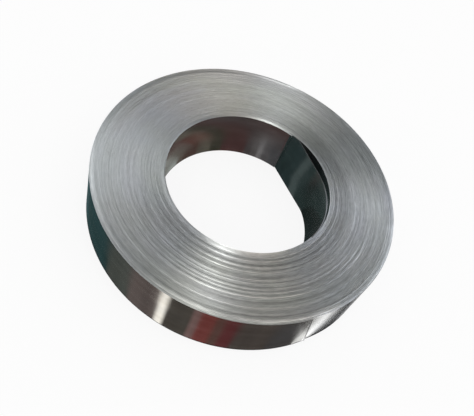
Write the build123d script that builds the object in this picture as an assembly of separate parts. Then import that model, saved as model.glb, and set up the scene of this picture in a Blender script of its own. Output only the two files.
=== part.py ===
from build123d import *
import math
import os

# A small coil of cold-rolled strip, lying flat with its eye up.
# Millimetres and degrees. The axis is +Z and the coil rests on z = 0.
# Azimuths are counted from +X, anticlockwise seen from above, the way the strip winds outwards.

# The strip
STRIP_GAUGE = 1.0
STRIP_WIDTH = 52.0

# The winding
BORE_RADIUS = 75.0
TURNS = 64
TURNS_PER_RING = 5
RING_STAGGER = 0.5

# The strip's inner end. Behind it starts the lap, the stretch that has sprung loose from the wall.
INNER_END_AZIMUTH = 75.0
LAP_JOIN_AZIMUTH = -21.0

# The lap's lower and upper edges: each leaves the wall, runs straight across the edge of the eye,
# bends at a knee and swings back to the wall.
LOW_RELEASE_AZIMUTH = 74.5
LOW_LEAN = 30.0
LOW_STRAIGHT = 53.0
LOW_KNEE_RADIUS = 28.0
LOW_KNEE_TURN = 14.0
HIGH_RELEASE_AZIMUTH = 67.5
HIGH_LEAN = 24.0
HIGH_STRAIGHT = 41.0
HIGH_KNEE_RADIUS = 60.0
HIGH_KNEE_TURN = 9.0

# The strip's outer end
TAIL_END_AZIMUTH = -51.0
TAIL_RUNOUT = 18.0

# Worked out from the sizes above
OUTER_RADIUS = BORE_RADIUS + TURNS * STRIP_GAUGE
COIL_HEIGHT = STRIP_WIDTH + RING_STAGGER
SECOND_TURN_RADIUS = BORE_RADIUS + STRIP_GAUGE
LAP_SEAT = STRIP_GAUGE / 2
LAP_HIDDEN_ANGLE = math.degrees(STRIP_GAUGE / SECOND_TURN_RADIUS)


def polar(radius, azimuth):
    """Point in plan at a radius and an azimuth."""
    angle = math.radians(azimuth)
    return Vector(radius * math.cos(angle), radius * math.sin(angle))


def ring_shift(ring):
    """How far a ring of turns has slid up the axis: 0, 1, 1/3 and 2/3 of the stagger in turn."""
    steps = (0, 3, 1, 2)
    return RING_STAGGER * steps[ring % len(steps)] / max(steps)


def wound_body():
    """All the turns as one turned solid. Each ring keeps the strip's full width, so a ring
    that stands proud at the top stands back by as much at the bottom."""
    lower_edge = []
    upper_edge = []
    for ring, first_turn in enumerate(range(0, TURNS, TURNS_PER_RING)):
        last_turn = min(first_turn + TURNS_PER_RING, TURNS)
        shift = ring_shift(ring)
        for turn in (first_turn, last_turn):
            radius = BORE_RADIUS + turn * STRIP_GAUGE
            lower_edge.append((radius, shift))
            upper_edge.append((radius, shift + STRIP_WIDTH))
    with BuildPart() as body:
        with BuildSketch(Plane.XZ):
            with BuildLine():
                Polyline(*lower_edge, *reversed(upper_edge), close=True)
            make_face()
        revolve(axis=Axis.Z)
    return body.part


def inner_recess():
    """The space that the lap has left. It grows from one gauge deep, where the lap joins the wall, to
    nearly two beside the strip's inner end, where the lap's outer side is seated in it."""
    middle_azimuth = (INNER_END_AZIMUTH + LAP_JOIN_AZIMUTH) / 2
    with BuildPart() as recess:
        with BuildSketch():
            with BuildLine():
                eye = CenterArc((0, 0), BORE_RADIUS - STRIP_GAUGE, INNER_END_AZIMUTH,
                                LAP_JOIN_AZIMUTH - INNER_END_AZIMUTH)
                wall = ThreePointArc(polar(SECOND_TURN_RADIUS + LAP_SEAT, INNER_END_AZIMUTH),
                                     polar(SECOND_TURN_RADIUS + LAP_SEAT / 2, middle_azimuth),
                                     polar(SECOND_TURN_RADIUS, LAP_JOIN_AZIMUTH))
                Line(eye @ 0, wall @ 0)
                Line(eye @ 1, wall @ 1)
            make_face()
        extrude(amount=COIL_HEIGHT)
    return recess.part


def lap_outline(height, release_azimuth, lean, straight, knee_radius, knee_turn):
    """Section of the lap at a height. It starts inside the winding, behind the strip's inner end, and
    ends inside it again, just past its join."""
    hidden_start = INNER_END_AZIMUTH + LAP_HIDDEN_ANGLE
    release = polar(SECOND_TURN_RADIUS, release_azimuth)
    heading = polar(1, release_azimuth - 90 - lean)
    join = polar(SECOND_TURN_RADIUS - LAP_SEAT, LAP_JOIN_AZIMUTH - LAP_HIDDEN_ANGLE)
    beside = CenterArc((0, 0), SECOND_TURN_RADIUS, hidden_start, release_azimuth - hidden_start)
    across = Line(release, release + heading * straight)
    knee = JernArc(across @ 1, heading, knee_radius, -knee_turn)
    swing = TangentArc(knee @ 1, join, tangent=knee % 1)
    inner_side = Wire([beside, across, knee, swing])
    outline = inner_side.offset_2d(STRIP_GAUGE, kind=Kind.INTERSECTION, side=Side.LEFT)
    return make_face(outline.edges()).moved(Location((0, 0, height)))


def loose_lap():
    """The lap, ruled between its lower and its upper edge."""
    lower = lap_outline(0, LOW_RELEASE_AZIMUTH, LOW_LEAN, LOW_STRAIGHT, LOW_KNEE_RADIUS, LOW_KNEE_TURN)
    upper = lap_outline(STRIP_WIDTH, HIGH_RELEASE_AZIMUTH, HIGH_LEAN, HIGH_STRAIGHT, HIGH_KNEE_RADIUS,
                        HIGH_KNEE_TURN)
    return loft([lower, upper], ruled=True)


def tail_step():
    """Past the strip's outer end the coil is one gauge smaller, and grows back over the run-out."""
    low = OUTER_RADIUS - STRIP_GAUGE
    start = polar(low, TAIL_END_AZIMUTH)
    middle = polar(OUTER_RADIUS - STRIP_GAUGE / 2, TAIL_END_AZIMUTH + TAIL_RUNOUT / 2)
    finish = polar(OUTER_RADIUS, TAIL_END_AZIMUTH + TAIL_RUNOUT)
    with BuildPart() as step:
        with BuildSketch():
            with BuildLine():
                ThreePointArc(start, middle, finish)
                Line(finish, polar(OUTER_RADIUS + STRIP_GAUGE, TAIL_END_AZIMUTH + TAIL_RUNOUT))
                CenterArc((0, 0), OUTER_RADIUS + STRIP_GAUGE, TAIL_END_AZIMUTH, TAIL_RUNOUT)
                Line(polar(OUTER_RADIUS + STRIP_GAUGE, TAIL_END_AZIMUTH), start)
            make_face()
        extrude(amount=COIL_HEIGHT)
    return step.part


def wound_strip():
    """The whole coil, one continuous strip."""
    return wound_body() - inner_recess() - tail_step() + loose_lap()


os.makedirs("parts", exist_ok=True)
coil = wound_strip()
coil.label = "wound_strip"
export_step(coil, "parts/wound_strip.step")
print("outer diameter", 2 * OUTER_RADIUS, "height", COIL_HEIGHT)
print("strip length, m", math.pi * (OUTER_RADIUS**2 - BORE_RADIUS**2) / STRIP_GAUGE / 1000)
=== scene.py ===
"""A small coil of bright cold-rolled steel strip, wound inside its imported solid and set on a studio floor."""

import math

import bmesh
import bpy
from bpy.props import FloatProperty, FloatVectorProperty, IntProperty, PointerProperty
from mathutils import Matrix, Vector, noise


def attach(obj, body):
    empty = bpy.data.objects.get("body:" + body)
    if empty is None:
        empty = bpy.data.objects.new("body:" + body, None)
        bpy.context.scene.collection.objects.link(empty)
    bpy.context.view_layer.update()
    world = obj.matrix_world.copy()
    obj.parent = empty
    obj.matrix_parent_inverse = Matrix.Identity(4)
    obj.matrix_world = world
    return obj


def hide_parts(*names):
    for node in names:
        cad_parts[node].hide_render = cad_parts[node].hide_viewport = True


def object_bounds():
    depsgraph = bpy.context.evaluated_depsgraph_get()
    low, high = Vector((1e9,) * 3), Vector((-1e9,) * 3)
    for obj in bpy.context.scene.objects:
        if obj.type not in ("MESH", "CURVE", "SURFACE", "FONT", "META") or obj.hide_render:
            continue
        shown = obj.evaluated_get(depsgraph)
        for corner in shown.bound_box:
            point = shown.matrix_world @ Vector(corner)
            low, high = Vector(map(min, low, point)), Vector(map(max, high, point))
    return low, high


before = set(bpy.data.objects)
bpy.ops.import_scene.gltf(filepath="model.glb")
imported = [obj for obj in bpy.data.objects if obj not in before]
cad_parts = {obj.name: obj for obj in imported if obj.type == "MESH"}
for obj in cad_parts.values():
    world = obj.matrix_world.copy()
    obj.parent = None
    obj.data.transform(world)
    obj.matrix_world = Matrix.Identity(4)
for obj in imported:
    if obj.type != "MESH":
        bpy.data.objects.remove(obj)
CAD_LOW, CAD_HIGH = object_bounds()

bl_info = {
    "name": "Wound Steel Strip",
    "version": (1, 0, 0),
    "blender": (4, 5, 0),
    "location": "3D View > Sidebar > Coil",
    "description": "Winds a coil of bright steel strip inside its packed solid and sets it on a studio floor",
    "category": "Object",
}

MM = 0.001
COIL_NODE = "wound_strip"

# The mesh's two kinds of face, which are also its material slots.
ROLLED, SLIT = 0, 1
# Columns of faces in one turn of the winding.
STEPS = 144
# Places across one turn's slit edge, in shares of the pitch, from one groove to the next.
EDGE_PLACES = (0.0, 0.12, 0.38, 0.66, 0.88, 1.0)
# Cuts across the walls and the lap, and along the lap.
WALL_CUTS, LAP_CROSS_CUTS, LAP_CUTS = 7, 6, 60
# Two faces that meet at more than this show a crisp edge.
SHARP = math.radians(40)
# Slack in turns, where two places along the strip are compared.
TINY = 1e-6

# How far turns have slid, in shares of the stagger. The innermost one, up to this turn, has slid furthest.
LEAST_SLIDE, USUAL_SLIDE, MOST_SLIDE = 0.1, 0.35, 0.6
INNERMOST = 0.9
# Noise steps in one turn: for what changes from turn to turn, and from one group of turns to the next.
SINGLE_STEP, GROUP_STEP = 0.77, 0.31
# Rows of that noise, so that each pattern has its own. The tilt has one for each end of the coil.
SINGLE_ROW, GROUP_ROW, TILT_ROWS = 3.1, 7.7, {1: 30.0, -1: 12.0}

# Rings of turns whose edges lean and shine: middle radius and half width in mm, and the lean in shares
# of the lip.
LEANING_RINGS = (
    (77.6, 3.6, 1.0), (84.5, 1.2, 0.7), (90.0, 1.0, 0.6), (94.2, 1.0, 0.5), (101.5, 1.1, 0.7),
    (104.5, 0.8, 0.3), (108.8, 1.0, 0.5), (112.0, 0.9, 0.5), (116.2, 1.2, 0.9), (125.2, 1.0, 0.4),
    (136.6, 2.6, 0.9),
)
# Rings of painted shade, where the gaps between turns show dark: middle radius, half width and depth of the
# shade.
PAINTED_SHADE_RINGS = (
    (82.3, 1.0, 0.5), (87.6, 1.6, 0.8), (92.0, 1.0, 0.8), (98.5, 2.2, 0.7), (103.0, 0.8, 0.6),
    (107.0, 1.0, 0.7), (110.3, 0.7, 0.4), (114.0, 1.0, 0.6), (120.8, 1.4, 0.7), (127.5, 1.6, 0.3),
    (132.6, 1.8, 0.9),
)
# Both show most towards the front, near the rim a little further to the left.
FRONT = math.radians(288)
RIM_SHIFT = math.radians(18)
# The turns next to the eye and at the rim shine towards the back.
BACK = math.radians(110)
# The ends have been wiped smoothest towards here.
CALM = math.radians(160)
# How fast the two fade away from their azimuths.
FRONT_POWER, CALM_POWER = 4, 2
# How strongly the turns beside the eye shine towards the back, in shares of the lip, how much of that the
# rim has, and how much of the tilt the wiping has taken.
EYE_SHINE, RIM_SHARE, CALM_LOSS = 0.8, 0.7, 0.6
# How much darker the slit edges are made: over all of the front, and over the inner turns away from it.
FRONT_DARKENING, INNER_DARKENING = 0.15, 0.6
# Where changes start, and over how many turns they come: the front's shift near the rim, the inner darkening's
# start and end, the end of the innermost turn's lip, of the shine beside the eye, and the start of the rim's.
SHIFT_STARTS = (55, 5)
DARKENING_STARTS = (3, 2)
DARKENING_ENDS = (18, 6)
LIP_ENDS = (0.2, 0.3)
EYE_ENDS = (2, 1)
RIM_STARTS = (57, 2)

# The waves in the walls: from crest to crest along the strip, and how fast they change upwards beside that.
WAVE_LENGTH, WAVE_UPWARD = 30 * MM, 0.4
# A wall face that looks along the strip by more than this is an end cut.
ALONG_STRIP = 0.7
# What belongs to an end cut: within this many radians of it, and this share of the pitch from its wall.
AT_CUT, IN_TURN = 0.01, 0.95
# The bevel along the lap's four corners, in shares of the gauge.
LAP_EASE = 0.12
# Where the lap lies on the winding map, as its middle and half its length in turns.
LAP_MIDDLE, LAP_HALF = 0.862, 0.14
# The line of painted shadow before the strip's outer end, as half its width in mm.
END_SHADOW_HALF = 0.8

# The map for baking. Its two discs: radius, row, and column of the top and of the bottom.
DISC_RADIUS, DISC_ROW, TOP_COLUMN, BOTTOM_COLUMN = 0.235, 0.74, 0.25, 0.75
# Its strips: rows of the outer wall, the inner wall and the lap's back, margin, length, and rows in a metre.
OUTER_ROW, INNER_ROW, BACK_ROW = 0.02, 0.26, 0.42
STRIP_MARGIN, STRIP_LENGTH, STRIP_SCALE = 0.01, 0.98, 2.6


def linear(hex_colour):
    """A written sRGB colour as the linear values that Blender wants."""
    channels = [int(hex_colour[i:i + 2], 16) / 255 for i in (1, 3, 5)]
    return tuple(c / 12.92 if c <= 0.04045 else ((c + 0.055) / 1.055) ** 2.4 for c in channels)


# Properties

class StripSizes(bpy.types.PropertyGroup):
    """What the strip and its winding measure."""

    gauge: FloatProperty(name="Gauge", description="Thickness of the strip", default=1.0 * MM, unit="LENGTH")
    width: FloatProperty(
        name="Width", description="Slit width of the strip", default=52.0 * MM, unit="LENGTH")
    bore_radius: FloatProperty(
        name="Bore radius", description="Radius the mandrel left", default=75.0 * MM, unit="LENGTH")
    coil_radius: FloatProperty(
        name="Coil radius", description="Radius over the outermost turn",
        default=(CAD_HIGH.x - CAD_LOW.x) / 2, unit="LENGTH")
    stagger: FloatProperty(
        name="Stagger", description="How far turns have slid along the axis", default=0.5 * MM, unit="LENGTH")
    whole_turns: IntProperty(
        name="Whole turns", description="Full turns before the last part turn", default=62)
    inner_end: FloatProperty(
        name="Inner end", description="Azimuth of the strip's inner end", default=math.radians(75.6),
        subtype="ANGLE")
    end_slant: FloatProperty(
        name="End slant", description="How far the inner end's cut leans over the lap at the top",
        default=math.radians(1.9), subtype="ANGLE")
    part_turn: FloatProperty(
        name="Part turn", description="Angle of the last part turn", default=math.radians(235),
        subtype="ANGLE")
    tail_slant: FloatProperty(
        name="Tail slant", description="How far the outer end's cut runs on at the bottom",
        default=math.radians(5), subtype="ANGLE")
    run_out: FloatProperty(
        name="Run-out", description="Angle over which the coil grows back beside the strip's outer end",
        default=math.radians(18), subtype="ANGLE")
    slack_turns: IntProperty(
        name="Slack turns", description="Outer turns that have relaxed a little", default=6)
    groove: FloatProperty(
        name="Groove", description="Depth of the groove between two turns' edges", default=0.14 * MM,
        unit="LENGTH")
    edge_tilt: FloatProperty(
        name="Edge tilt", description="Rise or fall of a slit edge across the gauge", default=0.08 * MM,
        unit="LENGTH")
    lip: FloatProperty(
        name="Lip", description="Rise of the innermost turn's edge away from the eye", default=0.225 * MM,
        unit="LENGTH")
    waviness: FloatProperty(
        name="Waviness", description="Depth of the shallow waves in the outer and inner walls",
        default=0.10 * MM, unit="LENGTH")


class LapSizes(bpy.types.PropertyGroup):
    """How the stretch of the innermost turn that has sprung loose is bent."""

    start: FloatProperty(
        name="Start",
        description="Angle from the inner end at which the tight part of the innermost turn stops",
        default=math.radians(260), subtype="ANGLE")
    release_low: FloatProperty(
        name="Release, low", description="Azimuth at which the lower edge comes off the wall",
        default=math.radians(75.6), subtype="ANGLE")
    release_high: FloatProperty(
        name="Release, high", description="Azimuth at which the upper edge comes off the wall",
        default=math.radians(67.5), subtype="ANGLE")
    lean_low: FloatProperty(
        name="Lean, low", description="Lean of the straight stretch at the lower edge",
        default=math.radians(30.1), subtype="ANGLE")
    lean_high: FloatProperty(
        name="Lean, high", description="Lean of the straight stretch at the upper edge",
        default=math.radians(24.2), subtype="ANGLE")
    straight_low: FloatProperty(
        name="Straight, low", description="Straight stretch at the lower edge", default=54.2 * MM,
        unit="LENGTH")
    straight_high: FloatProperty(
        name="Straight, high", description="Straight stretch at the upper edge", default=40.3 * MM,
        unit="LENGTH")
    knee_low: FloatProperty(
        name="Knee, low", description="Bend after the straight stretch at the lower edge",
        default=math.radians(14.0), subtype="ANGLE")
    knee_high: FloatProperty(
        name="Knee, high", description="Bend after the straight stretch at the upper edge",
        default=math.radians(8.7), subtype="ANGLE")
    radius_low: FloatProperty(
        name="Knee radius, low", description="Radius of that bend at the lower edge", default=28 * MM,
        unit="LENGTH")
    radius_high: FloatProperty(
        name="Knee radius, high", description="Radius of that bend at the upper edge", default=65 * MM,
        unit="LENGTH")
    join_low: FloatProperty(
        name="Join, low", description="Azimuth at which the lower edge is back on the wall",
        default=math.radians(-24), subtype="ANGLE")
    join_high: FloatProperty(
        name="Join, high", description="Azimuth at which the upper edge is back on the wall",
        default=math.radians(-16.8), subtype="ANGLE")
    edge_tilt: FloatProperty(
        name="Edge tilt", description="Fall of the upper slit edge away from the eye", default=0.25 * MM,
        unit="LENGTH")


class SteelFinish(bpy.types.PropertyGroup):
    """Colours of the steel."""

    rolled: FloatVectorProperty(
        name="Rolled face", description="Colour of the bright rolled face", subtype="COLOR",
        default=linear("#BDBFC0"))
    slit: FloatVectorProperty(
        name="Slit edge", description="Colour of the satin slit edge", subtype="COLOR",
        default=linear("#C7C9CA"))
    tarnish: FloatVectorProperty(
        name="Oil film", description="Colour where a film of rolling oil has dried", subtype="COLOR",
        default=linear("#A9A397"))
    haze: FloatVectorProperty(
        name="Haze", description="Colour where the slit edges have a thin greenish haze", subtype="COLOR",
        default=linear("#BEC4B9"))


class StudioSet(bpy.types.PropertyGroup):
    """Camera and floor."""

    distance: FloatProperty(
        name="Camera distance", description="From the middle of the coil's footprint, in coil radii",
        default=4.1606)
    elevation: FloatProperty(
        name="Elevation", description="Of the camera above the floor", default=0.9230, subtype="ANGLE")
    roll: FloatProperty(
        name="Roll", description="Turn of the camera about its line of sight", default=-0.4137,
        subtype="ANGLE")
    lens: FloatProperty(name="Lens", description="Focal length in mm", default=45.68)
    floor: FloatProperty(name="Floor", description="Half the width of the floor", default=6.0, unit="LENGTH")
    mat: FloatProperty(name="Mat", description="Radius of the dark mat", default=0.6, unit="LENGTH")
    tent: FloatProperty(name="Tent", description="Radius of the ring of panels", default=3.0, unit="LENGTH")


# Winding

def polar(radius, angle, height=0.0):
    """A point by its radius, azimuth and height."""
    return Vector((radius * math.cos(angle), radius * math.sin(angle), height))


def turns_of(s):
    """Turns from the inner end to the outer end, measured at the strip's inner side."""
    return s.whole_turns + s.part_turn / math.tau


def pitch_of(s):
    """Growth of radius in one turn: the gauge and the air between turns."""
    return (s.coil_radius - s.bore_radius) / (turns_of(s) + 1)


def smooth_step(share):
    """A share from 0 to 1 with a soft start and end."""
    share = min(max(share, 0.0), 1.0)
    return share * share * (3 - 2 * share)


def past(turn, start, over):
    """0 up to a turn, and 1 from so many turns on."""
    return smooth_step((turn - start) / over)


def boundary_radius(s, turns):
    """Radius of the side between two turns. The outermost turns have relaxed back to the coil's full radius,
    apart from where the strip's outer end presses them down."""
    last = turns_of(s)
    turns_over = max(0, math.ceil(last - turns - TINY))
    outside = turns + turns_over
    lift = (last + 1 - outside) * smooth_step((outside - last) * math.tau / s.run_out)
    share = max(0.0, 1 - turns_over / s.slack_turns)
    return s.bore_radius + pitch_of(s) * (turns + lift * share)


def is_loose(s, lap, turn):
    """Whether the strip has sprung off the wall at this turn."""
    return lap.start / math.tau + TINY < turn < 1 - TINY


def turn_noise(turn, step, row):
    """Noise that runs along the strip, with a row for each pattern."""
    return noise.noise(Vector((step * turn, row, 0.0)))


def slide(s, turn):
    """How far the strip has slid up the axis at a turn. The innermost turn stands proud."""
    if turn < INNERMOST:
        return MOST_SLIDE * s.stagger
    single = USUAL_SLIDE * turn_noise(turn, SINGLE_STEP, SINGLE_ROW)
    group = USUAL_SLIDE * turn_noise(turn, GROUP_STEP, GROUP_ROW)
    return s.stagger * min(max(USUAL_SLIDE + single + group, LEAST_SLIDE), MOST_SLIDE)


def groove_height(s, lap, boundary, side):
    """Height of the groove between a turn and the one inside it. Side 1 is the top and -1 the bottom."""
    slides = []
    if boundary >= 1 - TINY and not is_loose(s, lap, boundary - 1):
        slides.append(slide(s, boundary - 1))
    if boundary <= turns_of(s) + TINY:
        slides.append(slide(s, boundary))
    if side > 0:
        return s.width + min(slides) - s.groove
    return max(slides) + s.groove


def towards(s, turn, azimuth, power):
    """1 where a turn passes this azimuth, 0 at the other side of the coil. A higher power falls faster."""
    return (0.5 + 0.5 * math.cos(s.inner_end + math.tau * turn - azimuth)) ** power


def front_share(s, turn):
    """How much of the rings shows: most at the front, and at the rim a little further to the left."""
    return towards(s, turn, FRONT - RIM_SHIFT * past(turn, *SHIFT_STARTS), FRONT_POWER)


def calm_share(s, turn):
    """How smoothly the slit edge has been wiped."""
    return towards(s, turn, CALM, CALM_POWER)


def in_rings(s, turn, rings):
    """How strongly a turn belongs to the nearest of these rings."""
    radius = (s.bore_radius + pitch_of(s) * (turn + 0.5)) / MM
    share = sum(depth * (1 - smooth_step(abs(radius - middle) / half_width))
                for middle, half_width, depth in rings)
    return share * front_share(s, turn)


def ring_shade_and_darkening(s, turn):
    """How much darker a turn's slit edge is made: painted shade in rings at the front, and a thin darkening
    there and over the inner turns."""
    front = front_share(s, turn)
    inner = past(turn, *DARKENING_STARTS) * (1 - past(turn, *DARKENING_ENDS))
    film = INNER_DARKENING * inner * (1 - front) * (1 - calm_share(s, turn))
    return in_rings(s, turn, PAINTED_SHADE_RINGS) + FRONT_DARKENING * front + film


def edge_height(s, lap, turn, place, side):
    """Height of a slit edge across its gauge: grooved at both sides and leaning a little, each turn its own
    way. At the top the innermost turn has a lip, and rings of turns lean so that they shine."""
    if place in (0.0, 1.0):
        return groove_height(s, lap, turn + place, side)
    tilt = s.edge_tilt * turn_noise(turn, SINGLE_STEP, TILT_ROWS[side])
    tilt *= 1 - CALM_LOSS * calm_share(s, turn)
    if side > 0:
        wound = past(turn, *LIP_ENDS)
        shine = max(1 - past(turn, *EYE_ENDS), RIM_SHARE * past(turn, *RIM_STARTS))
        shine *= max(0.0, math.cos(s.inner_end + math.tau * turn - BACK))
        tilt += s.lip * (1 - wound + wound * (EYE_SHINE * shine - in_rings(s, turn, LEANING_RINGS)))
    height = slide(s, turn) + (s.width if side > 0 else 0.0) + tilt * (2 * place - 1)
    return min(max(height, CAD_LOW.z), CAD_HIGH.z)


def wind_edges(bm, s, lap, side, first, last):
    """A band of slit edges: a flat grid of turns by gauge, kept as the winding map, and then wound up. A
    further map says how much darker each place is made, with painted shade in rings, and how smoothly wiped it
    is."""
    winding, stain = bm.loops.layers.uv["winding"], bm.loops.layers.uv["stain"]
    columns = round((last - first) * STEPS)
    made = bmesh.ops.create_grid(bm, x_segments=columns, y_segments=len(EDGE_PLACES) - 1, size=1.0)
    for v in made["verts"]:
        column = round((v.co.x + 1) / 2 * columns)
        row = round((v.co.y + 1) / 2 * (len(EDGE_PLACES) - 1))
        v.co = Vector((first + column / STEPS, EDGE_PLACES[row], 0.0))
    for face in {f for v in made["verts"] for f in v.link_faces}:
        face.material_index = SLIT
        for loop in face.loops:
            loop[winding].uv = loop.vert.co.xy
            turn = loop.vert.co.x
            loop[stain].uv = (ring_shade_and_darkening(s, turn) if side > 0 else 0.0, calm_share(s, turn))
    for v in made["verts"]:
        turn, place = v.co.xy
        angle = s.inner_end + math.tau * turn
        v.co = polar(boundary_radius(s, turn + place), angle, edge_height(s, lap, turn, place, side))


def raise_walls(bm, s):
    """The outer and the inner wall: rolled faces, waved a little, and the strip's two end cuts."""
    middle = (s.bore_radius + s.coil_radius) / 2
    rims = [e for e in bm.edges if e.is_boundary]
    for inner in (True, False):
        rim = [e for e in rims if (e.verts[0].co.xy.length < middle) == inner]
        made = bmesh.ops.bridge_loops(bm, edges=rim)
        for face in made["faces"]:
            face.material_index = ROLLED
    bmesh.ops.recalc_face_normals(bm, faces=bm.faces)
    uprights = {e for f in bm.faces if f.material_index == ROLLED for e in f.edges
                if abs(e.verts[0].co.z - e.verts[1].co.z) > s.width / 2}
    made = bmesh.ops.subdivide_edges(bm, edges=list(uprights), cuts=WALL_CUTS, use_grid_fill=True)
    inside = {v for v in made["geom_inner"] if isinstance(v, bmesh.types.BMVert)}
    for v in inside:
        wave = noise.noise(Vector((v.co.x, v.co.y, WAVE_UPWARD * v.co.z)) / WAVE_LENGTH)
        radius = v.co.xy.length
        moved = s.waviness * (0.5 + 0.5 * wave)
        v.co.xy *= (radius - moved if radius > middle else radius + moved) / radius
    cut = []
    for face in bm.faces:
        along = Vector((-face.calc_center_median().y, face.calc_center_median().x, 0)).normalized()
        if face.material_index == ROLLED and abs(face.normal.dot(along)) > ALONG_STRIP:
            face.material_index = SLIT
            cut.append(face)
    slant_cuts(s, {v for face in cut for v in face.verts})


def slant_cuts(s, verts):
    """Slants the two end cuts: the inner one leans over the lap, the outer one runs on at the bottom."""
    inner_radius = s.bore_radius + IN_TURN * pitch_of(s)
    outer_radius = s.coil_radius - IN_TURN * pitch_of(s)
    for v in verts:
        angle, rise = math.atan2(v.co.y, v.co.x), v.co.z / s.width
        past_inner = math.remainder(angle - s.inner_end, math.tau)
        past_outer = math.remainder(angle - s.inner_end - s.part_turn, math.tau)
        lean = 0.0
        if abs(past_inner) < AT_CUT and v.co.xy.length < inner_radius:
            lean = -s.end_slant * rise
        if abs(past_outer) < AT_CUT and v.co.xy.length > outer_radius:
            lean = s.tail_slant * (1 - rise)
        v.co.rotate(Matrix.Rotation(lean, 3, "Z"))


def wind_body(bm, s, lap):
    """The tight turns as one closed shape."""
    for side in (1, -1):
        wind_edges(bm, s, lap, side, 0.0, lap.start / math.tau)
        wind_edges(bm, s, lap, side, 1.0, turns_of(s))
    bmesh.ops.remove_doubles(bm, verts=bm.verts, dist=0.01 * MM)
    raise_walls(bm, s)


# Lap

def unit(heading):
    """A step of 1 in this direction."""
    return Vector((math.cos(heading), math.sin(heading), 0.0))


def follow(point, heading, length, turn):
    """Where an arc of this length leads, and its heading there. It turns clockwise, and 0 is straight on."""
    chord = length * (math.sin(turn / 2) / (turn / 2) if turn else 1.0)
    return point + unit(heading - turn / 2) * chord, heading - turn


def lap_route(s, lap, edge):
    """The middle of the lap's gauge at its low or high edge, as a start and a chain of arcs: beside the wall,
    straight across the edge of the eye, round the knee, back to the wall and on beside it."""
    def size(name):
        return getattr(lap, f"{name}_{edge}")

    radius = s.bore_radius + 1.5 * pitch_of(s)
    join_radius = s.bore_radius + pitch_of(s) * (lap.start / math.tau + 0.5)
    beside = s.inner_end - size("release")
    after = math.tau - s.inner_end - lap.start + size("join")
    arcs = [(radius * beside, beside, 0.0), (size("straight"), 0.0, size("lean")),
            (size("radius") * size("knee"), size("knee"), 0.0)]
    start = polar(radius, s.inner_end)
    heading = s.inner_end - math.pi / 2
    point, turned = start, heading
    for length, turn, lean in arcs:
        point, turned = follow(point, turned - lean, length, turn)
    chord = polar(join_radius, size("join")) - point
    swing = math.remainder(2 * (turned - math.atan2(chord.y, chord.x)), math.tau)
    arcs.append((chord.length * (swing / 2) / math.sin(swing / 2), swing, 0.0))
    kink = math.remainder(turned - swing - size("join") + math.pi / 2, math.tau)
    arcs.append((join_radius * after, after, kink))
    return start, heading, arcs


def lap_point(route, share):
    """A point on the lap's middle line, and the direction there that leads out of the eye."""
    point, heading, arcs = route
    left = share * sum(length for length, turn, lean in arcs)
    for length, turn, lean in arcs:
        part = min(left, length)
        point, heading = follow(point, heading - lean, part, turn * part / length if length else 0.0)
        left -= part
        if left <= 0:
            break
    return point, unit(heading + math.pi / 2)


def bend_lap(bm, s, lap):
    """The stretch of the innermost turn that has sprung loose: a slit bar with its corners eased, bent."""
    winding = bm.loops.layers.uv["winding"]
    made = bmesh.ops.create_cube(bm, size=1.0)
    bmesh.ops.translate(bm, verts=made["verts"], vec=(0.5, 0.0, 0.5))
    bmesh.ops.scale(bm, verts=made["verts"], vec=(1.0, s.gauge, s.width))
    lengthways = [e for e in bm.edges if abs(e.verts[0].co.x - e.verts[1].co.x) > 0.5]
    bmesh.ops.bevel(bm, geom=lengthways, offset=LAP_EASE * s.gauge, segments=1, affect="EDGES", profile=0.5,
                    material=-1)
    upright = [e for e in bm.edges if abs(e.verts[0].co.z - e.verts[1].co.z) > 0.5 * s.width]
    bmesh.ops.subdivide_edges(bm, edges=upright, cuts=LAP_CROSS_CUTS, use_grid_fill=True)
    lengthways = [e for e in bm.edges if abs(e.verts[0].co.x - e.verts[1].co.x) > 0.5]
    bmesh.ops.subdivide_edges(bm, edges=lengthways, cuts=LAP_CUTS, use_grid_fill=True)
    first_turn = lap.start / math.tau
    for face in bm.faces:
        face.material_index = ROLLED if abs(face.normal.y) > 0.9 else SLIT
        for loop in face.loops:
            v = loop.vert
            loop[winding].uv = (1 - v.co.x * (1 - first_turn), v.co.y / s.gauge + 0.5)
    low, high = lap_route(s, lap, "low"), lap_route(s, lap, "high")
    slid_start, slid_end = slide(s, 1.0), slide(s, first_turn)
    for v in bm.verts:
        share, offset, rise = v.co.x, v.co.y, v.co.z / s.width
        low_point, low_out = lap_point(low, share)
        high_point, high_out = lap_point(high, share)
        out = low_out.lerp(high_out, rise).normalized()
        height = v.co.z + slid_start + (slid_end - slid_start) * share
        if rise > 0.99:
            height -= lap.edge_tilt * (offset / s.gauge + 0.5)
        height = min(max(height, CAD_LOW.z), CAD_HIGH.z)
        v.co = low_point.lerp(high_point, rise) + out * offset + Vector((0, 0, height))
    bmesh.ops.recalc_face_normals(bm, faces=bm.faces)


def lay_out_bake(bm, s):
    """A map for baking: the two ends as discs side by side, the rolled faces as strips below them."""
    bake = bm.loops.layers.uv["OFBake"]
    middle = (s.bore_radius + s.coil_radius) / 2
    disc = DISC_RADIUS / s.coil_radius
    for face in bm.faces:
        centre = face.calc_center_median()
        column, flip = (TOP_COLUMN, 1) if centre.z > s.width / 2 else (BOTTOM_COLUMN, -1)
        if face.material_index == SLIT:
            for loop in face.loops:
                x, y, z = loop.vert.co
                loop[bake].uv = (column + x * disc * flip, DISC_ROW + y * disc)
            continue
        turned = math.atan2(centre.y, centre.x)
        row = OUTER_ROW if centre.xy.length > middle else INNER_ROW
        if face.normal.xy.dot(centre.xy) > 0 and centre.xy.length < middle:
            row = BACK_ROW
        for loop in face.loops:
            angle = math.atan2(loop.vert.co.y, loop.vert.co.x)
            angle = turned + math.remainder(angle - turned, math.tau)
            loop[bake].uv = (STRIP_MARGIN + STRIP_LENGTH * (angle + math.pi) / math.tau,
                             row + STRIP_SCALE * loop.vert.co.z)


# Materials

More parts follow.
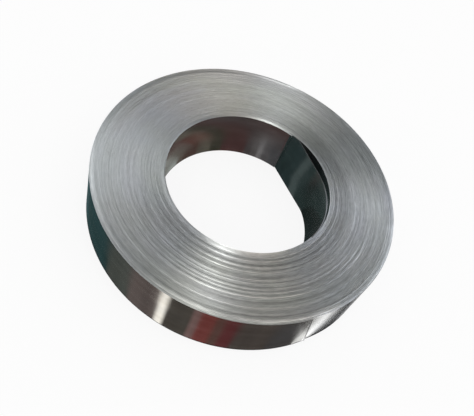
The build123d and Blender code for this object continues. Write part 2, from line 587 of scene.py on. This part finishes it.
def add(tree, kind, settings=None, **inputs):
    """Adds a node, sets its properties, and sets or links its inputs, by name or by i and a number."""
    node = tree.nodes.new(kind)
    for name, value in (settings or {}).items():
        setattr(node, name, value)
    for name, value in inputs.items():
        key = int(name[1:]) if name[0] == "i" and name[1:].isdigit() else name.replace("_", " ")
        if isinstance(value, bpy.types.NodeSocket):
            tree.links.new(value, node.inputs[key])
        else:
            node.inputs[key].default_value = value
    return node


def new_tree(name):
    """A new material with nothing in it, and its nodes."""
    material = bpy.data.materials.new(name)
    material.use_nodes = True
    material.node_tree.nodes.clear()
    return material, material.node_tree


def lamellar_noise(tree, angular, radial, upward, detail=2.0):
    """Noise drawn out round the axis: how many features there are in a radian, in a millimetre of radius and
    in a millimetre of height."""
    place = add(tree, "ShaderNodeTexCoord").outputs["Object"]
    flat = add(tree, "ShaderNodeVectorMath", {"operation": "MULTIPLY"}, i0=place, i1=(1, 1, 0))
    radius = add(tree, "ShaderNodeVectorMath", {"operation": "LENGTH"}, i0=flat.outputs[0]).outputs["Value"]
    around = add(tree, "ShaderNodeVectorMath", {"operation": "NORMALIZE"}, i0=flat.outputs[0])
    around = add(tree, "ShaderNodeVectorMath", {"operation": "SCALE"}, i0=around.outputs[0], Scale=angular)
    height = add(tree, "ShaderNodeSeparateXYZ", i0=place).outputs["Z"]
    out = add(tree, "ShaderNodeMath", {"operation": "MULTIPLY"}, i0=radius, i1=radial / MM)
    layer = add(tree, "ShaderNodeMath", {"operation": "MULTIPLY_ADD"}, i0=height, i1=upward / MM,
                i2=out.outputs[0])
    layer = add(tree, "ShaderNodeCombineXYZ", Z=layer.outputs[0])
    where = add(tree, "ShaderNodeVectorMath", {"operation": "ADD"}, i0=around.outputs[0], i1=layer.outputs[0])
    return add(tree, "ShaderNodeTexNoise", Vector=where.outputs[0], Scale=1.0, Detail=detail).outputs["Fac"]


def winding_noise(tree, along):
    """Noise that follows the strip: how many features there are in a turn."""
    place = add(tree, "ShaderNodeUVMap", {"uv_map": "winding"}).outputs[0]
    place = add(tree, "ShaderNodeMapping", Vector=place, Scale=(along, 0.0, 1)).outputs[0]
    return add(tree, "ShaderNodeTexNoise", Vector=place, Scale=1.0, Detail=2.0).outputs["Fac"]


def spread(tree, value, low, high):
    """A noise value's usual range stretched between two numbers."""
    return add(tree, "ShaderNodeMapRange", Value=value, From_Min=0.3, From_Max=0.7, To_Min=low,
               To_Max=high).outputs[0]


def times(tree, *values):
    """The product of numbers or sockets."""
    product = values[0]
    for value in values[1:]:
        product = add(tree, "ShaderNodeMath", {"operation": "MULTIPLY"}, i0=product, i1=value).outputs[0]
    return product


def painted_end_shadow(tree, s):
    """1 on the narrow line of painted shadow before the strip's outer end, which runs on a little towards the
    bottom.
    """
    place = add(tree, "ShaderNodeSeparateXYZ", i0=add(tree, "ShaderNodeTexCoord").outputs["Object"]).outputs
    angle = add(tree, "ShaderNodeMath", {"operation": "ARCTAN2"}, i0=place["Y"], i1=place["X"]).outputs[0]
    end = math.remainder(s.inner_end + s.part_turn, math.tau) + s.tail_slant
    cut = add(tree, "ShaderNodeMath", {"operation": "MULTIPLY_ADD"}, i0=place["Z"],
              i1=-s.tail_slant / s.width, i2=end)
    beyond = add(tree, "ShaderNodeMath", {"operation": "SUBTRACT"}, i0=angle, i1=cut.outputs[0]).outputs[0]
    beyond = times(tree, beyond, s.coil_radius / MM)
    return add(tree, "ShaderNodeMath", {"operation": "COMPARE"}, i0=beyond, i1=-END_SHADOW_HALF,
               i2=END_SHADOW_HALF).outputs[0]


def rolled_face(finish, s):
    """Cold-rolled strip face, temper rolled on polished rolls: bright as a dull mirror, with fine lines along
    the strip that draw each reflection out upwards, and a thin film of rolling oil in places. A painted
    shadow darkens a narrow line before the strip's outer end."""
    material, tree = new_tree("cold_rolled_bright_face")
    # Rolling lines are some 0.02 mm apart, drawn here at 0.8 mm so that they show.
    lines = lamellar_noise(tree, 1.2, 0.0, 1.2)
    streaks = lamellar_noise(tree, 3.0, 0.0, 0.12)
    film = lamellar_noise(tree, 2.0, 0.02, 0.04, detail=3.0)
    # Painted shadow: the tone drops to a quarter on the line before the strip's outer end.
    end = add(tree, "ShaderNodeMapRange", Value=painted_end_shadow(tree, s), To_Min=1.0, To_Max=0.25).outputs[0]
    tone = times(tree, spread(tree, lines, 0.94, 1.04), spread(tree, streaks, 0.9, 1.06), end)
    tint = add(tree, "ShaderNodeMix", {"data_type": "RGBA"}, i0=spread(tree, film, 0.0, 0.35),
               i6=(*finish.rolled, 1), i7=(*finish.tarnish, 1))
    colour = add(tree, "ShaderNodeVectorMath", {"operation": "SCALE"}, i0=tint.outputs[2], Scale=tone)
    rough = times(tree, spread(tree, streaks, 0.19, 0.23), spread(tree, film, 0.97, 1.05))
    bump = add(tree, "ShaderNodeBump", Strength=0.15, Distance=0.02 * MM, Height=lines)
    tangent = add(tree, "ShaderNodeTangent", {"direction_type": "RADIAL", "axis": "Z"})
    shader = add(
        tree, "ShaderNodeBsdfPrincipled", Base_Color=colour.outputs[0], Metallic=1.0, Roughness=rough,
        Anisotropic=0.76, Anisotropic_Rotation=0.25, Normal=bump.outputs[0], Tangent=tangent.outputs[0])
    add(tree, "ShaderNodeOutputMaterial", Surface=shader.outputs[0])
    return material


def slit_edge(finish):
    """Slit edge of the strip, sheared between rotary knives: a burnished lip and a rougher broken zone across
    each gauge, satin, with fine lines along the cut that fan each reflection out from the axis. Painted shade
    darkens it in rings at the front and along the lap, a further darkening lies over the front and the inner
    turns, dried oil tints it in patches, and there is a greenish haze in places."""
    material, tree = new_tree("slit_edge_satin")
    place = add(tree, "ShaderNodeUVMap", {"uv_map": "winding"}).outputs[0]
    across = add(tree, "ShaderNodeSeparateXYZ", i0=place).outputs["Y"]
    burnish = add(tree, "ShaderNodeMapRange", {"interpolation_type": "SMOOTHSTEP"}, Value=across,
                  From_Min=0.3, From_Max=0.6, To_Min=1.0, To_Max=0.0).outputs[0]
    # The knives' marks are some 0.05 mm apart, drawn here at about a gauge, 1 mm, so that they show. Rings
    # are 2 to 3 mm apart, and patches and haze 20 to 30 mm.
    turns = winding_noise(tree, 2.3)
    rings = lamellar_noise(tree, 1.3, 0.42, 0.0, detail=3.0)
    fine = lamellar_noise(tree, 2.2, 1.1, 0.0)
    grain = lamellar_noise(tree, 16.0, 0.9, 0.0)
    patches = lamellar_noise(tree, 2.5, 0.03, 0.0, detail=3.0)
    haze = lamellar_noise(tree, 1.7, 0.045, 0.0)
    along = add(tree, "ShaderNodeSeparateXYZ", i0=place).outputs["X"]
    # Painted shade: the lap's slit edges keep only 0.3 of their tone.
    on_lap = add(tree, "ShaderNodeMath", {"operation": "COMPARE"}, i0=along, i1=LAP_MIDDLE, i2=LAP_HALF)
    lap_shade = add(tree, "ShaderNodeMapRange", Value=on_lap.outputs[0], To_Min=1.0, To_Max=0.3).outputs[0]
    stain = add(tree, "ShaderNodeUVMap", {"uv_map": "stain"}).outputs[0]
    stain = add(tree, "ShaderNodeSeparateXYZ", i0=stain)
    calm = times(tree, stain.outputs["Y"], 0.6)
    # Painted shade in rings at the front, with the darkening over the front and the inner turns, lowers the
    # tone down to 0.55.
    oil = add(tree, "ShaderNodeMapRange", Value=stain.outputs["X"], To_Min=1.0, To_Max=0.55).outputs[0]
    marks = times(tree, spread(tree, turns, 0.88, 1.1), spread(tree, rings, 0.9, 1.08),
                  spread(tree, fine, 0.8, 1.14), spread(tree, grain, 0.86, 1.12),
                  spread(tree, burnish, 0.97, 1.03))
    marks = add(tree, "ShaderNodeMix", i0=calm, i2=marks, i3=0.98).outputs[0]
    tone = times(tree, marks, lap_shade, oil)
    tint = add(tree, "ShaderNodeMix", {"data_type": "RGBA"}, i0=spread(tree, patches, 0.0, 0.3),
               i6=(*finish.slit, 1), i7=(*finish.tarnish, 1))
    tint = add(tree, "ShaderNodeMix", {"data_type": "RGBA"}, i0=spread(tree, haze, 0.0, 0.4),
               i6=tint.outputs[2], i7=(*finish.haze, 1))
    colour = add(tree, "ShaderNodeVectorMath", {"operation": "SCALE"}, i0=tint.outputs[2], Scale=tone)
    rough = times(tree, spread(tree, rings, 0.40, 0.32), spread(tree, turns, 1.08, 0.92),
                  spread(tree, patches, 0.95, 1.08))
    bump = add(tree, "ShaderNodeBump", Strength=0.35, Distance=0.1 * MM, Height=fine)
    tangent = add(tree, "ShaderNodeTangent", {"direction_type": "RADIAL", "axis": "Z"})
    shader = add(
        tree, "ShaderNodeBsdfPrincipled", Base_Color=colour.outputs[0], Metallic=1.0, Roughness=rough,
        Anisotropic=0.88, Anisotropic_Rotation=0.25, Normal=bump.outputs[0], Tangent=tangent.outputs[0])
    add(tree, "ShaderNodeOutputMaterial", Surface=shader.outputs[0])
    return material


def glow(name, hex_colour, strength):
    """A card or panel that shines evenly."""
    material, tree = new_tree(name)
    shine = add(tree, "ShaderNodeEmission", Color=(*linear(hex_colour), 1), Strength=strength)
    add(tree, "ShaderNodeOutputMaterial", Surface=shine.outputs[0])
    return material


def card_paint(name, cards):
    """Cards side by side, each from one place to another along the sheet's map, with soft joints and a
    little unevenness."""
    material, tree = new_tree(name)
    low, high = cards[0][0], cards[-1][1]
    where = add(tree, "ShaderNodeUVMap", {"uv_map": "sheet"}).outputs[0]
    ramp = add(tree, "ShaderNodeValToRGB", Fac=add(tree, "ShaderNodeSeparateXYZ", i0=where).outputs["X"])
    stops = []
    for first, last, colour in cards:
        soft = min(CARD_SOFTNESS, (last - first) / 4)
        stops += [(first + soft, colour), (last - soft, colour)]
    while len(ramp.color_ramp.elements) < len(stops):
        ramp.color_ramp.elements.new(1.0)
    for element, (place, colour) in zip(ramp.color_ramp.elements, stops):
        element.position = (place - low) / (high - low)
        element.color = (*linear(colour), 1)
    where = add(tree, "ShaderNodeMapping", Vector=where, Scale=((high - low) / CLOUD_LENGTH, 2.0, 1))
    cloud = add(tree, "ShaderNodeTexNoise", Vector=where.outputs[0], Scale=1.0, Detail=3.0).outputs["Fac"]
    gain = spread(tree, cloud, (1 - CARD_CLOUDINESS) * CARD_GAIN, (1 + CARD_CLOUDINESS) * CARD_GAIN)
    shine = add(tree, "ShaderNodeEmission", Color=ramp.outputs[0], Strength=gain)
    add(tree, "ShaderNodeOutputMaterial", Surface=shine.outputs[0])
    return material


def seen_rays(tree):
    """1 for the rays that show a background: from the camera, off a gloss or through glass."""
    path = add(tree, "ShaderNodeLightPath")
    seen = add(tree, "ShaderNodeMath", {"operation": "MAXIMUM"}, i0=path.outputs["Is Camera Ray"],
               i1=path.outputs["Is Glossy Ray"])
    return add(tree, "ShaderNodeMath", {"operation": "MAXIMUM"}, i0=seen.outputs[0],
               i1=path.outputs["Is Transmission Ray"]).outputs[0]


# Studio

# What the polished walls mirror: cards that lie round the foot of the coil, each from one azimuth of the
# wall to another, with the look that it gives the steel.
WALL_CARDS = (
    (202, 214, "#294245"),
    (214, 235, "#1F3435"),
    (235, 247, "#3C3F3B"),
    (247, 259.2, "#524946"),
    (259.2, 262.1, "#F0EAE0"),
    (262.1, 271, "#3C3833"),
    (271, 273.4, "#66504D"),
    (273.4, 278.6, "#602F2B"),
    (278.6, 281.6, "#4A342E"),
    (281.6, 286.2, "#4C2021"),
    (286.2, 299, "#38322E"),
    (299, 309.6, "#343232"),
    (309.6, 313, "#787773"),
    (313, 317.6, "#FFFFFF"),
    (317.6, 329, "#262627"),
    (329, 345, "#A0A0A0"),
)
EYE_CARDS = (
    (74, 83, "#3E3E40"),
    (83, 89, "#484647"),
    (89, 93, "#646263"),
    (93, 98, "#4A4747"),
    (98, 103, "#3A3636"),
    (103, 122, "#3C2827"),
    (122, 131, "#302F27"),
    (131, 142, "#4A463E"),
    (142, 156, "#40312C"),
    (156, 162, "#4E4640"),
    (162, 179, "#858A86"),
)
# The mat in the eye, by place from one side to the other in mm.
EYE_MAT = (
    (-75, -45, "#5C5A55"),
    (-45, -24, "#55302A"),
    (-24, -9, "#302C25"),
    (-9, 8, "#3A2927"),
    (8, 75, "#161E1D"),
)
# What the flat stretch of the lap mirrors, by place across the floor in mm.
LAP_CARDS = (
    (33, 45, "#222D2C"),
    (45, 53, "#3C4544"),
    (53, 75, "#202B2B"),
)
# A lighter card close to the foot of the coil, which the strip's outer end mirrors.
FOOT_CARD = ((309.8, 314.2, "#CFCECB"),)
# How much brighter a card shines than it looks in the steel, and how uneven it is. In the cards' own measure,
# how long its clouds are and half the width of the joint between two cards.
CARD_GAIN, CARD_CLOUDINESS = 2.0, 0.2
CLOUD_LENGTH, CARD_SOFTNESS = 5, 0.8
# How far the cards reach from the wall in metres, and in the eye in shares of the bore's radius.
WALL_REACH, FOOT_REACH, EYE_REACH = 0.4, 0.016, 0.56
CARD_GAP = 0.2 * MM
# The sheets lie one above the other, each at its own height over the floor.
MAT_LIFT, EYE_MAT_LIFT, CARD_LIFT, LAP_CARD_LIFT, FOOT_CARD_LIFT = (
    0.3 * MM, 0.4 * MM, 0.6 * MM, 0.9 * MM, 1.2 * MM)
# The place across the eye at which the sheet under the lap turns up.
LAP_CARD_BEND = 19 * MM
# Each panel's columns of faces, in degrees, and its rows.
PANEL_STEP, PANEL_ROWS = 5, 6
# How much of the floor's look is its own even white. The rest keeps the shadow.
FLOOR_GLOW = 0.85
# What the satin ends mirror: panels round and over the coil, each from one azimuth and elevation to another,
# with its colour and strength. The white surround shows between them.
TENT_PANELS = (
    (-20, 60, 0, 35, "#EEF3FF", 2.7),
    (60, 80, 0, 35, "#DDF0E8", 0.1),
    (80, 100, 0, 35, "#FFFFFF", 1.0),
    (100, 120, 0, 35, "#FFF6EE", 1.8),
    (120, 140, 0, 35, "#FFF6EE", 0.7),
    (140, 180, 0, 35, "#FBFBFF", 1.9),
    (180, 220, 0, 35, "#FFFFFF", 0.4),
    (220, 300, 0, 35, "#FFFFFF", 1.2),
    (300, 340, 0, 35, "#FFFDF8", 2.1),
    (0, 40, 35, 60, "#FFFFFF", 0.1),
    (40, 65, 35, 60, "#F0F4FF", 0.7),
    (65, 120, 35, 60, "#E4F2F4", 0.1),
    (120, 160, 35, 60, "#F4F7FF", 2.1),
    (160, 200, 35, 60, "#FFFFFF", 0.6),
    (200, 240, 35, 60, "#FFFFFF", 0.05),
    (240, 300, 35, 60, "#FFFFFF", 1.6),
    (300, 360, 35, 60, "#FFF4EE", 1.4),
    (0, 120, 60, 80, "#FFFFFF", 0.15),
    (120, 180, 60, 80, "#F4F7FF", 1.5),
    (180, 240, 60, 80, "#FFFFFF", 0.05),
    (240, 300, 60, 80, "#FFFDFA", 1.6),
    (300, 360, 60, 80, "#FFF4EE", 1.1),
)


def add_object(context, name, data):
    """An object in the scene that holds this mesh, lamp or camera."""
    obj = bpy.data.objects.new(name, data)
    context.collection.objects.link(obj)
    return obj


def stage_mesh(context, name, bm, materials, mirrored_only=True):
    """A piece of the stage. One that is mirrored only shows in the steel and lights nothing else."""
    mesh = bpy.data.meshes.new(name)
    bm.to_mesh(mesh)
    bm.free()
    for material in materials:
        mesh.materials.append(material)
    obj = add_object(context, name, mesh)
    if mirrored_only:
        obj.visible_camera = obj.visible_diffuse = obj.visible_shadow = obj.visible_transmission = False


def warp_grid(bm, columns, rows, index, place):
    """A grid whose points go where place puts them, from two shares that are kept as its map."""
    sheet = bm.loops.layers.uv.verify()
    made = bmesh.ops.create_grid(bm, x_segments=columns, y_segments=rows, size=1.0)
    for face in {f for v in made["verts"] for f in v.link_faces}:
        face.material_index = index
        for loop in face.loops:
            loop[sheet].uv = (loop.vert.co.xy + Vector((1, 1))) / 2
    for v in made["verts"]:
        v.co = place((v.co.x + 1) / 2, (v.co.y + 1) / 2)


def lay_cards(context, name, cards, radius, reach, lift=CARD_LIFT):
    """A sheet of cards on the mat, laid along the lines that the wall mirrors from the camera."""
    first, last = cards[0][0], cards[-1][1]
    camera = context.scene.camera.matrix_world.translation

    def place(across, along):
        azimuth = math.radians(first + (last - first) * across)
        foot = polar(radius, azimuth, lift)
        seen = math.atan2(foot.y - camera.y, foot.x - camera.x)
        return foot + unit(2 * azimuth + math.pi - seen) * along * reach(azimuth)

    bm = bmesh.new()
    bm.loops.layers.uv.new("sheet")
    warp_grid(bm, round(last - first), 1, 0, place)
    stage_mesh(context, name, bm, [card_paint(name, cards)])


def lay_eye_mat(context, radius):
    """The mat in the eye, darker and greener under the lap."""
    bm = bmesh.new()
    bm.loops.layers.uv.new("sheet")
    warp_grid(bm, 1, 1, 0, lambda across, along: Vector((
        radius * (2 * across - 1), radius * (2 * along - 1), EYE_MAT_LIFT)))
    stage_mesh(context, "eye_mat", bm, [card_paint("eye_mat", EYE_MAT)])


def stand_lap_cards(context, s):
    """The sheet that the flat stretch of the lap mirrors: along the floor, and up at the far side."""
    low, high = LAP_CARDS[0][0] * MM, LAP_CARDS[-1][1] * MM
    bm = bmesh.new()
    bm.loops.layers.uv.new("sheet")
    warp_grid(bm, 1, 1, 0, lambda across, along: Vector((
        LAP_CARD_BEND + (s.bore_radius - LAP_CARD_BEND) * along, low + (high - low) * across, LAP_CARD_LIFT)))
    warp_grid(bm, 1, 1, 0, lambda across, up: Vector((
        LAP_CARD_BEND, low + (high - low) * across, s.width * up)))
    stage_mesh(context, "lap_cards", bm, [card_paint("lap_cards", LAP_CARDS)])


def hang_tent(context, radius):
    """The panels that the satin ends mirror, each a patch of a sphere round the coil."""
    bm = bmesh.new()
    for index, (first, last, low, high, colour, strength) in enumerate(TENT_PANELS):
        def place(across, up):
            azimuth = math.radians(first + (last - first) * across)
            elevation = math.radians(low + (high - low) * up)
            return polar(radius * math.cos(elevation), azimuth, radius * math.sin(elevation))

        warp_grid(bm, max(2, round((last - first) / PANEL_STEP)), PANEL_ROWS, index, place)
    glows = [glow(f"panel_{first}_{low}", colour, strength)
             for first, last, low, high, colour, strength in TENT_PANELS]
    stage_mesh(context, "tent", bm, glows)


def set_floor(context, st, bore_radius):
    """A plain white floor that keeps the coil's shadow, and a dark mat on it that only the steel mirrors."""
    bm = bmesh.new()
    bmesh.ops.create_grid(bm, x_segments=1, y_segments=1, size=st.floor)
    material, tree = new_tree("white_floor")
    share = times(tree, seen_rays(tree), FLOOR_GLOW)
    paint = add(tree, "ShaderNodeBsdfDiffuse", Color=(0.9, 0.9, 0.9, 1))
    shine = add(tree, "ShaderNodeEmission", Color=(1, 1, 1, 1), Strength=1.0)
    mix = add(tree, "ShaderNodeMixShader", i0=share, i1=paint.outputs[0], i2=shine.outputs[0])
    add(tree, "ShaderNodeOutputMaterial", Surface=mix.outputs[0])
    stage_mesh(context, "floor", bm, [material], mirrored_only=False)
    bm = bmesh.new()
    bmesh.ops.create_circle(bm, cap_ends=True, segments=96, radius=st.mat)
    bmesh.ops.translate(bm, verts=bm.verts, vec=(0, 0, MAT_LIFT))
    stage_mesh(context, "mat", bm, [glow("dark_mat", "#1E1F1F", 1.0)])
    lay_eye_mat(context, bore_radius)


def set_world(context):
    """White where it is seen, and a little less as light."""
    world = bpy.data.worlds.new("studio")
    context.scene.world = world
    world.use_nodes = True
    tree = world.node_tree
    tree.nodes.clear()
    soft = add(tree, "ShaderNodeBackground", Color=(1, 1, 1, 1), Strength=0.9)
    white = add(tree, "ShaderNodeBackground", Color=(1, 1, 1, 1), Strength=1.0)
    mix = add(tree, "ShaderNodeMixShader", i0=seen_rays(tree), i1=soft.outputs[0], i2=white.outputs[0])
    add(tree, "ShaderNodeOutputWorld", Surface=mix.outputs[0])


def set_lamp(context):
    """One soft lamp overhead."""
    place = Vector((0.05, 0.0, 1.6))
    data = bpy.data.lights.new("overhead", "AREA")
    data.size = 0.16
    data.energy = 2.0
    lamp = add_object(context, "overhead", data)
    lamp.matrix_world = Matrix.LocRotScale(place, (-place).to_track_quat("-Z", "Y"), None)


def set_camera(context, st, radius):
    """The camera, aimed a little past the middle of the coil's footprint."""
    place = Vector((0, -math.cos(st.elevation), math.sin(st.elevation))) * st.distance * radius
    aim = Vector((0.0026, 0.0363, 0.0)) * radius
    data = bpy.data.cameras.new("camera")
    data.lens = st.lens
    camera = add_object(context, "camera", data)
    turn = (aim - place).to_track_quat("-Z", "Y") @ Matrix.Rotation(-st.roll, 3, "Z").to_quaternion()
    camera.matrix_world = Matrix.LocRotScale(place, turn, None)
    context.scene.camera = camera


# Operators

class COIL_OT_wind_strip(bpy.types.Operator):
    """Winds the strip, with its slit edges, its sprung inner lap and its two ends"""

    bl_idname = "coil.wind_strip"
    bl_label = "Wind strip"

    def execute(self, context):
        s, lap, finish = context.scene.coil_strip, context.scene.coil_lap, context.scene.coil_finish
        mesh = bpy.data.meshes.new("wound_coil")
        for shape in (bend_lap, wind_body):
            bm = bmesh.new()
            bm.loops.layers.uv.new("OFBake")
            bm.loops.layers.uv.new("winding")
            bm.loops.layers.uv.new("stain")
            shape(bm, s, lap)
            bm.from_mesh(mesh)
            bm.to_mesh(mesh)
            bm.free()
        bm = bmesh.new()
        bm.from_mesh(mesh)
        lay_out_bake(bm, s)
        for face in bm.faces:
            face.smooth = True
        for edge in bm.edges:
            rim = len({face.material_index for face in edge.link_faces}) > 1
            edge.smooth = not rim and edge.calc_face_angle(0.0) < SHARP
        bm.to_mesh(mesh)
        bm.free()
        mesh.materials.append(rolled_face(finish, s))
        mesh.materials.append(slit_edge(finish))
        piece = add_object(context, "wound_coil", mesh)
        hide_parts(COIL_NODE)
        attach(piece, "root")
        return {"FINISHED"}


class COIL_OT_studio(bpy.types.Operator):
    """Sets the floor, the cards and panels that the steel mirrors, the light and the camera"""

    bl_idname = "coil.studio"
    bl_label = "Studio"

    def execute(self, context):
        s, st = context.scene.coil_strip, context.scene.coil_studio
        set_camera(context, st, s.coil_radius)
        set_world(context)
        set_floor(context, st, s.bore_radius)
        outside, inside = s.coil_radius + CARD_GAP, s.bore_radius - CARD_GAP
        lay_cards(context, "wall_cards", WALL_CARDS, outside, lambda azimuth: WALL_REACH)
        lay_cards(context, "foot_card", FOOT_CARD, outside, lambda azimuth: FOOT_REACH, FOOT_CARD_LIFT)
        lay_cards(context, "eye_cards", EYE_CARDS, inside,
                  lambda azimuth: EYE_REACH * s.bore_radius * math.sin(azimuth))
        stand_lap_cards(context, s)
        hang_tent(context, st.tent)
        set_lamp(context)
        context.scene.view_settings.view_transform = "Standard"
        return {"FINISHED"}


class COIL_PT_panel(bpy.types.Panel):
    """Sizes, finish and studio of the coil"""

    bl_idname = "COIL_PT_panel"
    bl_label = "Wound Steel Strip"
    bl_space_type = "VIEW_3D"
    bl_region_type = "UI"
    bl_category = "Coil"

    def draw(self, context):
        for group in (context.scene.coil_strip, context.scene.coil_lap, context.scene.coil_finish,
                      context.scene.coil_studio):
            box = self.layout.box()
            for name in group.__annotations__:
                box.prop(group, name)
        for operator in OPERATORS:
            self.layout.operator(operator.bl_idname)


GROUPS = {
    "coil_strip": StripSizes,
    "coil_lap": LapSizes,
    "coil_finish": SteelFinish,
    "coil_studio": StudioSet,
}
OPERATORS = (COIL_OT_wind_strip, COIL_OT_studio)


def register():
    for cls in (*GROUPS.values(), *OPERATORS, COIL_PT_panel):
        bpy.utils.register_class(cls)
    for name, cls in GROUPS.items():
        setattr(bpy.types.Scene, name, PointerProperty(type=cls))


def unregister():
    for name in GROUPS:
        delattr(bpy.types.Scene, name)
    for cls in (COIL_PT_panel, *OPERATORS, *GROUPS.values()):
        bpy.utils.unregister_class(cls)


def main():
    register()
    bpy.ops.coil.wind_strip()
    bpy.ops.coil.studio()


if __name__ == "__main__":
    main()
